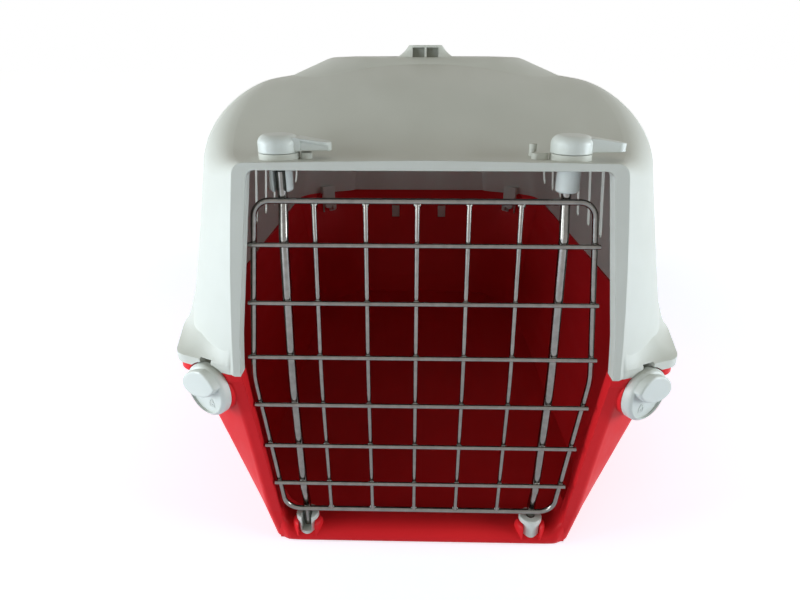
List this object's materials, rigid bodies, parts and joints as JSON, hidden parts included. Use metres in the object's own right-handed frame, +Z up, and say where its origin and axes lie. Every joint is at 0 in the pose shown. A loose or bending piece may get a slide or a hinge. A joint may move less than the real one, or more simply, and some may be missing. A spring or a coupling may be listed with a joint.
{
  "type": "pet carrier",
  "caption": "Two-piece moulded pet carrier with a red tub, a vented grey hood, a swinging wire door on pivot rods, roof latches, quarter-turn corner clamps and a lift-up handle.",
  "frame": {"origin": "middle of the case's flat base, on the floor", "axes": "+Z up, the door faces -Y, +X to the right of someone looking at the door"},
  "size_m": [0.356, 0.5752, 0.3523],
  "materials": {
    "tub_red": "glossy injection-moulded polypropylene",
    "shell_grey": "satin moulded polypropylene with a fine grain",
    "fittings_grey": "satin moulded fittings",
    "door_wire": "zinc-plated welded steel wire"
  },
  "bodies": {
    "case": {"lower_tub": "tub_red", "upper_shell": "shell_grey", "socket_left": "fittings_grey", "socket_right": "fittings_grey"},
    "door": {"door_frame_wire": "door_wire", "door_upright_wires": "door_wire", "door_cross_wires": "door_wire", "door_rod_left": "door_wire", "door_rod_right": "door_wire"},
    "latch_left": {"latch_knob_left": "fittings_grey", "latch_sleeve_left": "fittings_grey"},
    "latch_right": {"latch_knob_right": "fittings_grey", "latch_sleeve_right": "fittings_grey"},
    "clamp_front_left": {"clamp_knob_front_left": "fittings_grey", "clamp_cam_front_left": "fittings_grey"},
    "clamp_front_right": {"clamp_knob_front_right": "fittings_grey", "clamp_cam_front_right": "fittings_grey"},
    "clamp_rear_left": {"clamp_knob_rear_left": "fittings_grey", "clamp_cam_rear_left": "fittings_grey"},
    "clamp_rear_right": {"clamp_knob_rear_right": "fittings_grey", "clamp_cam_rear_right": "fittings_grey"},
    "handle": {"carry_handle": "fittings_grey"}
  },
  "joints": [
    {"name": "door_swing", "type": "hinge", "parent": "case", "child": "door", "pos_m": [0.08275, -0.257, 0.012], "axis": [0, 0, 1], "range_deg": [0, 100]},
    {"name": "latch_left_turn", "type": "hinge", "parent": "case", "child": "latch_left", "pos_m": [-0.08775, -0.257, 0.29], "axis": [0, 0, -1], "range_deg": [0, 180]},
    {"name": "latch_right_turn", "type": "hinge", "parent": "case", "child": "latch_right", "pos_m": [0.08275, -0.257, 0.29], "axis": [0, 0, -1], "range_deg": [0, 180]},
    {"name": "clamp_front_left_turn", "type": "hinge", "parent": "case", "child": "clamp_front_left", "pos_m": [-0.14122, -0.27287, 0.142], "axis": [0.533, 0.8461, 0], "range_deg": [0, 90]},
    {"name": "clamp_front_right_turn", "type": "hinge", "parent": "case", "child": "clamp_front_right", "pos_m": [0.14122, -0.27287, 0.142], "axis": [0.533, -0.8461, 0], "range_deg": [0, 90]},
    {"name": "clamp_rear_left_turn", "type": "hinge", "parent": "case", "child": "clamp_rear_left", "pos_m": [-0.14406, 0.24987, 0.142], "axis": [0.7158, -0.6983, 0], "range_deg": [0, 90]},
    {"name": "clamp_rear_right_turn", "type": "hinge", "parent": "case", "child": "clamp_rear_right", "pos_m": [0.14406, 0.24987, 0.142], "axis": [0.7158, 0.6983, 0], "range_deg": [0, 90]},
    {"name": "handle_lift", "type": "slide", "parent": "case", "child": "handle", "axis": [0, 0, 1], "range_m": [0, 0.012]}
  ]
}
